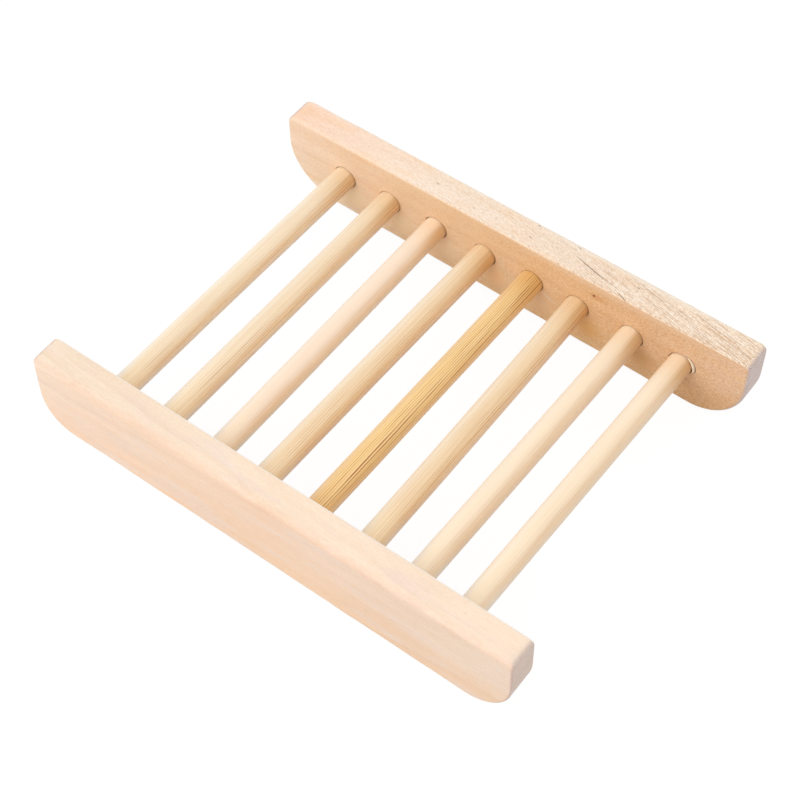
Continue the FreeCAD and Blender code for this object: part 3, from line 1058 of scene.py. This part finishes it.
def beech(name, top, face, low_face_shade, end, edge, patch, pith, grain_turn, look, marks):
    """Mixes one rail's wood. Colours are on-screen values; marks are laid over them last."""
    tree, shader = bare(name)
    at = board_places(tree, grain_turn, look["slant"])
    fibres = board_fibres(tree, at)
    pores = board_pores(tree, at, look)
    tone = board_tone(tree, at, top, face, low_face_shade, end, patch, look["patch"])
    tone = board_figure(tree, at, tone, fibres, pith, look)
    tone = board_inner_edge(tree, at, tone, look["rubbed_and_lit"])
    tone = stain(tree, pores, tone, PORE_STAIN)
    tone = board_wear(tree, at, tone, edge)
    for colour, weight, spot in marks:
        mask = use(tree, mark_group, {"Vector": at["place"], **spot}, "Mask")
        tone = blend(tree, times(tree, mask, weight), tone, srgb(*colour))
    rough = remap(tree, fibres, 0.0, 1.0, 0.52, 0.64)
    relief = minus(tree, times(tree, fibres, 0.6), pores)
    finish(name, tree, shader, tone, rough, relief, level=0.3)


# %% The front rail: calm and pinkish
beech("front_rail_beech",
      top=((238, 217, 194), (242, 218, 193), (245, 221, 198)),
      face=((244, 217, 192), (239, 206, 179), (235, 210, 187)),
      low_face_shade=((244, 211, 184), (239, 204, 172), (236, 203, 172)),
      end=(220, 198, 184), edge=(249, 240, 238), patch=(235, 213, 198), pith=(0, 34, -60),
      grain_turn=(0.02, 0.05, 0.03),
      look={"patch": 0.6, "cloud": 0.12, "ring": 0.15, "fibre": 0.10, "ray": 0.3,
            "stipple": 0.13, "stipple_growth": 1.0, "slant": 0.03, "rubbed_and_lit": 0.0,
            "pore_cover": 0.34, "pore_left": 0.22, "pore_right": 0.12, "pore_edge": 0.0,
            "pore_face": 0.14},
      marks=[])

# %% The back rail: where its marks lie
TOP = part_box("back_rail")[1].z / MM
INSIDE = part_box("back_rail")[0].y / MM
BROWN_LINE = (126, 92, 66)
FLECK = (118, 92, 76)
PALE_RAY = (244, 216, 186)

# to the right of each rung but the last, the inner face is painted paler, as painted light that weakens the
# rungs' shadows
LIGHT_BESIDE_RUNGS = ((255, 229, 190), (255, 228, 188), (255, 224, 186), (253, 208, 158), (249, 211, 166),
                (241, 190, 122), (218, 170, 118))
BESIDE_SHIFT = 2.9
BESIDE_HEIGHT = 6.6
BESIDE_SIZE = (4.4, 1.5, 4.6)
back_marks = []
for colour, name in zip(LIGHT_BESIDE_RUNGS, RUNGS):
    beside = axis_ends(name)[1].x / MM + BESIDE_SHIFT
    back_marks.append((colour, 0.85, mark(beside, INSIDE, BESIDE_HEIGHT, BESIDE_SIZE, edge=0.9)))
back_marks += [
    # the inner face, paler just under the top edge
    ((238, 207, 177), 0.5, mark(24, INSIDE, 20.3, (38, 1.5, 1.5), edge=0.9)),
    # a pin knot between the sixth and seventh rungs, in a reddish ring
    ((218, 150, 98), 0.5, mark(22.6, INSIDE, 17.4, (2.4, 1.5, 1.2))),
    ((92, 52, 30), 0.9, mark(21.9, INSIDE, 17.5, (0.42, 1.0, 0.40))),
    # pale streaks of rays beside the fourth and fifth rungs
    (PALE_RAY, 0.8, mark(10.6, INSIDE, 9.3, (3.6, 1.5, 0.9), (0, 24, 0), 0.9)),
    (PALE_RAY, 0.7, mark(9.6, INSIDE, 6.6, (3.0, 1.5, 0.8), (0, 24, 0), 0.9)),
    ((226, 200, 172), 0.35, mark(-1.2, INSIDE, 12.0, (1.6, 1.5, 2.2), (0, 20, 0), 0.9)),
    # a ring's dark edge, which crosses the top at a slant
    (BROWN_LINE, 0.95, mark(19.2, 40.22, TOP, (7.0, 0.15, 1.5), (0, 0, -13.1), 0.7)),
    (BROWN_LINE, 0.9, mark(27.9, 37.76, TOP, (1.9, 0.15, 1.5), (0, 0, -18), 0.7)),
    # a painted highlight along the outer edge's right half
    ((244, 233, 217), 0.6, mark(26, 43.9, TOP, (38, 1.4, 1.5), edge=0.8)),
    # flecks
    (FLECK, 0.6, mark(-19.9, 40.6, TOP, (0.45, 0.2, 1.0), (0, 0, -30))),
    (FLECK, 0.7, mark(4.2, 39.9, TOP, (0.7, 0.16, 1.0), (0, 0, -12))),
    (FLECK, 0.7, mark(4.0, 43.6, TOP, (0.5, 0.18, 1.0))),
    (FLECK, 0.6, mark(14.1, 43.5, TOP, (0.7, 0.14, 1.0), (0, 0, -10))),
    (FLECK, 0.7, mark(29.5, 41.7, TOP, (0.45, 0.18, 1.0), (0, 0, -10))),
]
print("marks on the back rail:", len(back_marks))

# %% The back rail: pores on top, and orange inside
beech("back_rail_beech",
      top=((247, 213, 189), (243, 222, 201), (242, 221, 199), (243, 221, 197)),
      # the inner face's orange towards the right is partly the wood's own tone, partly painted shade from
      # the rungs; the lower face's last stop is painted shade
      face=((242, 211, 183), (238, 201, 161), (231, 187, 140), (229, 188, 152)),
      low_face_shade=((242, 218, 190), (241, 209, 171), (240, 202, 153), (207, 160, 115)),
      end=(213, 195, 189), edge=(252, 250, 248), patch=(240, 192, 138), pith=(0, -10, 62),
      grain_turn=(0.02, 0.03, -0.02),
      look={"patch": 0.3, "cloud": 0.12, "ring": 0.16, "fibre": 0.15, "ray": 0.3,
            "stipple": 0.26, "stipple_growth": 2.9, "slant": 0.2, "rubbed_and_lit": 0.6,
            "pore_cover": 0.5, "pore_left": 0.16, "pore_right": 0.9, "pore_edge": 0.9,
            "pore_face": 0.16},
      marks=back_marks)

# %% [markdown]
# ## Bamboo for the rungs
#
# Most of the rungs are split from bamboo, whose fibres run straight from end to end and crowd towards
# one side of the stick. The third is a smooth pinkish wood, and the fifth comes from the outside of the
# cane, so it is golden, with strong brown streaks. What faces up is painted paler, as painted light, and
# the rest takes a deeper copy of the colour, as painted shade. The ends at the back rail are painted deeper
# and more golden, as painted shade, while those at the front rail are painted paler, as painted light
# against the front rail's shadow. A painted sheen makes each rung paler where it turns away. One recipe
# serves all four finishes.

# %% The rung recipe: its tone
# along the dish's depth, where a rung's end begins to change its tone, and where it has changed
BACK_END = (24 * MM, 38 * MM)
FRONT_END = (-22 * MM, -36 * MM)
GOLDEN_STAIN = (252, 241, 224)
# the colour of the painted shade on the rungs' back ends, beside the back rail
BACK_END_SHADE_TINT = (226, 210, 178)
RUNG_RIM_SHEEN = (246, 238, 224)


def rung_tone(tree, back_end, front_end, towards_dark, pale, shaded_tone, foot, ends):
    """Painted light on top and painted shade elsewhere, golden on one side, painted shade at the back end,
    and painted light at the front end.
    """
    # painted light on what faces up, and painted shade on the rest: a lit and a shaded copy of each finish
    painted_top_light = faces(tree, (0, 0, 1), none_at=0.15, full_at=0.95)
    # the back end also takes the deeper copy, as painted shade
    depth = plus(tree, complement(tree, painted_top_light), times(tree, back_end, ends), clamp=True)
    tone = blend(tree, depth, srgb(*pale), srgb(*shaded_tone))
    golden = times(tree, carried(tree, "gold"), remap(tree, towards_dark, -0.3, 0.95, 0.0, 1.5))
    # the back end's share of the golden tint is painted shade
    golden = plus(tree, golden, times(tree, back_end, 0.3), clamp=True)
    tone = stain(tree, golden, tone, GOLDEN_STAIN)
    # painted light at the front end, against the front rail's shadow
    return blend(tree, times(tree, front_end, 0.65), tone, srgb(*foot))


# %% The rung recipe: its fibres
def rung_wood(name, pale, shaded_tone, line, foot, look):
    """Mixes one rung finish. Its fibres follow the place that each point had in the straight stick."""
    tree, shader = bare(name)
    grain = carried(tree, "grain_place", "Vector")
    gold = carried(tree, "gold")
    towards_dark = over(tree, split(tree, grain)[1], RUNG_RADIUS)
    depth_place = split(tree, object_place(tree))[1]
    back_end = remap(tree, depth_place, *BACK_END)
    front_end = remap(tree, depth_place, *FRONT_END)
    tone = rung_tone(tree, back_end, front_end, towards_dark, pale, shaded_tone, foot, look["ends"])
    clouds = stretch(tree, grain, along=24, across=2.4, detail=2.0, seed=1.0)
    tone = swing(tree, tone, clouds, look["cloud"])
    fibres = stretch(tree, grain, along=40, across=0.24, detail=2.0, seed=6.0)
    tone = swing(tree, tone, fibres, look["fibre"])

    # brown fibre bundles all round, and darker ones that crowd on one side
    bundles = use(tree, bundle_group, {"Vector": grain, "Count": look["bundles"],
                                       "Sharpness": look["sharp"], "Seed": 3.0}, "Mask")
    crowd = plus(tree, remap(tree, towards_dark, look["calm_until"], 0.8, look["spread"], 1.0),
                 times(tree, gold, 0.1))
    # fewer dark bundles at the front end, which also lifts it as painted light
    crowd = times(tree, crowd, remap(tree, front_end, 0.0, 1.0, 1.0, look["foot_lines"]))
    shown = times(tree, bundles, times(tree, crowd, look["dark"]), clamp=True)
    tone = stain(tree, shown, tone, line)

    # painted shade darkens the crowded side at the back end, and a painted sheen pales what turns away
    back_end_shade = times(tree, times(tree, back_end, crowd), look["stain"], clamp=True)
    tone = stain(tree, back_end_shade, tone, BACK_END_SHADE_TINT)
    # less painted sheen at the back end and on golden rungs
    rim_sheen_share = minus(tree, complement(tree, times(tree, back_end, 0.7)), times(tree, gold, 0.5), clamp=True)
    rim_sheen = times(tree, rim_sheen_share, rim_sheen_mask(tree, 0.18, 0.6, look["rim_sheen"]))
    # the sheen is stronger at the front end, as painted light
    rim_sheen = times(tree, rim_sheen, remap(tree, front_end, 0.0, 1.0, 1.0, 1.7))
    tone = blend(tree, rim_sheen, tone, srgb(*RUNG_RIM_SHEEN))
    rough = remap(tree, fibres, 0.0, 1.0, look["gloss"], look["gloss"] + 0.12)
    relief = minus(tree, times(tree, fibres, 0.5), shown)
    finish(name, tree, shader, tone, rough, relief, level=0.45)


# %% The four rung finishes
# each finish gives its lit colour, its painted-shade colour, its line colour, and a foot colour that is
# painted light at the front end, against the front rail's shadow
rung_wood("rung_bamboo", pale=(242, 221, 190), shaded_tone=(252, 218, 171), line=(196, 146, 92),
          foot=(255, 233, 194),
          look={"cloud": 0.10, "fibre": 0.20, "bundles": 38.0, "sharp": 0.45, "calm_until": 0.62,
                "spread": 0.3, "dark": 1.0, "foot_lines": 0.4, "ends": 0.2, "stain": 0.55, "rim_sheen": 0.55,
                "gloss": 0.42})
rung_wood("rung_pinkish", pale=(246, 222, 197), shaded_tone=(251, 211, 162), line=(206, 164, 124),
          foot=(255, 235, 203),
          look={"cloud": 0.08, "fibre": 0.08, "bundles": 46.0, "sharp": 0.3, "calm_until": 0.3,
                "spread": 0.04, "dark": 0.7, "foot_lines": 1.0, "ends": 0.3, "stain": 0.65, "rim_sheen": 0.55,
                "gloss": 0.46})
rung_wood("rung_golden", pale=(244, 206, 142), shaded_tone=(247, 200, 129), line=(148, 80, 26),
          foot=(246, 204, 138),
          look={"cloud": 0.08, "fibre": 0.20, "bundles": 36.0, "sharp": 0.5, "calm_until": 0.45,
                "spread": 0.25, "dark": 1.0, "foot_lines": 0.7, "ends": 0.1, "stain": 0.45, "rim_sheen": 0.18,
                "gloss": 0.4})
rung_wood("rung_pale", pale=(248, 227, 199), shaded_tone=(249, 213, 166), line=(206, 166, 124),
          foot=(255, 238, 208),
          look={"cloud": 0.08, "fibre": 0.10, "bundles": 48.0, "sharp": 0.3, "calm_until": 0.4,
                "spread": 0.06, "dark": 0.7, "foot_lines": 1.0, "ends": 0.15, "stain": 0.8, "rim_sheen": 0.55,
                "gloss": 0.44})

# %% Torn fibre, fresh and pale
tree, shader = bare("torn_fibre")
strands = stretch(tree, object_place(tree), along=0.5, across=0.12, detail=2.0, seed=5.0)
tone = swing(tree, srgb(251, 229, 198), strands, 0.2)
finish("torn_fibre", tree, shader, tone, remap(tree, strands, 0.0, 1.0, 0.6, 0.75), strands, level=0.3)

# %% [markdown]
# ## Light
#
# The photograph is a bright product shot: one large soft light from the upper left, a weak one from
# behind on the right, a pale room that fills the shade, and a sheet so white that hardly a shadow is left.


# %% The lights
def soft_light(name, direction, distance, size, power, colour):
    """A square soft light that faces the origin."""
    data = bpy.data.lights.new(name, "AREA")
    data.size = size
    data.energy = power
    data.color = colour
    light = bpy.data.objects.new(name, data)
    bpy.context.scene.collection.objects.link(light)
    away = Vector(direction).normalized()
    light.location = away * distance
    light.rotation_mode = "QUATERNION"
    light.rotation_quaternion = away.to_track_quat("Z", "Y")


soft_light("key_light", direction=(-0.30, -0.55, 0.78), distance=0.9, size=0.9, power=5.05,
           colour=(1.0, 0.99, 0.97))
soft_light("rim_light", direction=(0.50, 0.66, 0.56), distance=0.9, size=0.7, power=1.1,
           colour=(1.0, 0.98, 0.95))
print("lights:", len(bpy.data.lights))

# %% The pale room
ROOM_FILL = 0.66


def seen_directly(tree):
    """One for what the camera sees, also by way of gloss or glass, and zero for light on the object."""
    path = put(tree, "ShaderNodeLightPath").outputs
    return maths(tree, "MAXIMUM", path["Is Camera Ray"],
                 maths(tree, "MAXIMUM", path["Is Transmission Ray"], path["Is Glossy Ray"]))


world = bpy.data.worlds.new("pale_room")
bpy.context.scene.world = world
world.use_nodes = True
tree = world.node_tree
tree.nodes.clear()
fill = put(tree, "ShaderNodeBackground", {"Color": (0.98, 0.985, 1.0, 1), "Strength": ROOM_FILL})
white = put(tree, "ShaderNodeBackground", {"Color": (1, 1, 1, 1), "Strength": 1.0})
either = put(tree, "ShaderNodeMixShader", {0: seen_directly(tree), 1: fill.outputs[0], 2: white.outputs[0]})
put(tree, "ShaderNodeOutputWorld", {0: either.outputs[0]})
print("world:", world.name)

# %% The sheet that the dish stands on
FLOOR_SIZE = 6.0
GLOW_SHARE = 0.88
GLOW_STRENGTH = 1.06

half = FLOOR_SIZE / 2
floor_mesh = bpy.data.meshes.new("floor")
floor_mesh.from_pydata([(-half, -half, 0), (half, -half, 0), (half, half, 0), (-half, half, 0)],
                       [], [(0, 1, 2, 3)])
floor = bpy.data.objects.new("floor", floor_mesh)
bpy.context.scene.collection.objects.link(floor)
paper = bpy.data.materials.new("white_sheet")
paper.use_nodes = True
tree = paper.node_tree
tree.nodes.clear()
glowing = times(tree, seen_directly(tree), GLOW_SHARE)
lit = put(tree, "ShaderNodeBsdfDiffuse", {"Color": (0.82, 0.82, 0.82, 1)})
glow = put(tree, "ShaderNodeEmission", {"Color": (1, 1, 1, 1), "Strength": GLOW_STRENGTH})
either = put(tree, "ShaderNodeMixShader", {0: glowing, 1: lit.outputs[0], 2: glow.outputs[0]})
put(tree, "ShaderNodeOutputMaterial", {0: either.outputs[0]})
floor_mesh.materials.append(paper)
print("sheet:", FLOOR_SIZE, "m wide")

# %% Riding on the root body, with the CAD nodes that the pieces stand for hidden
for name, piece in {**rungs, **rails}.items():
    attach(piece, "root")
    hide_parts(name)
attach(sliver, "root")

# %% How the colours are shown
bpy.context.scene.view_settings.view_transform = "Standard"
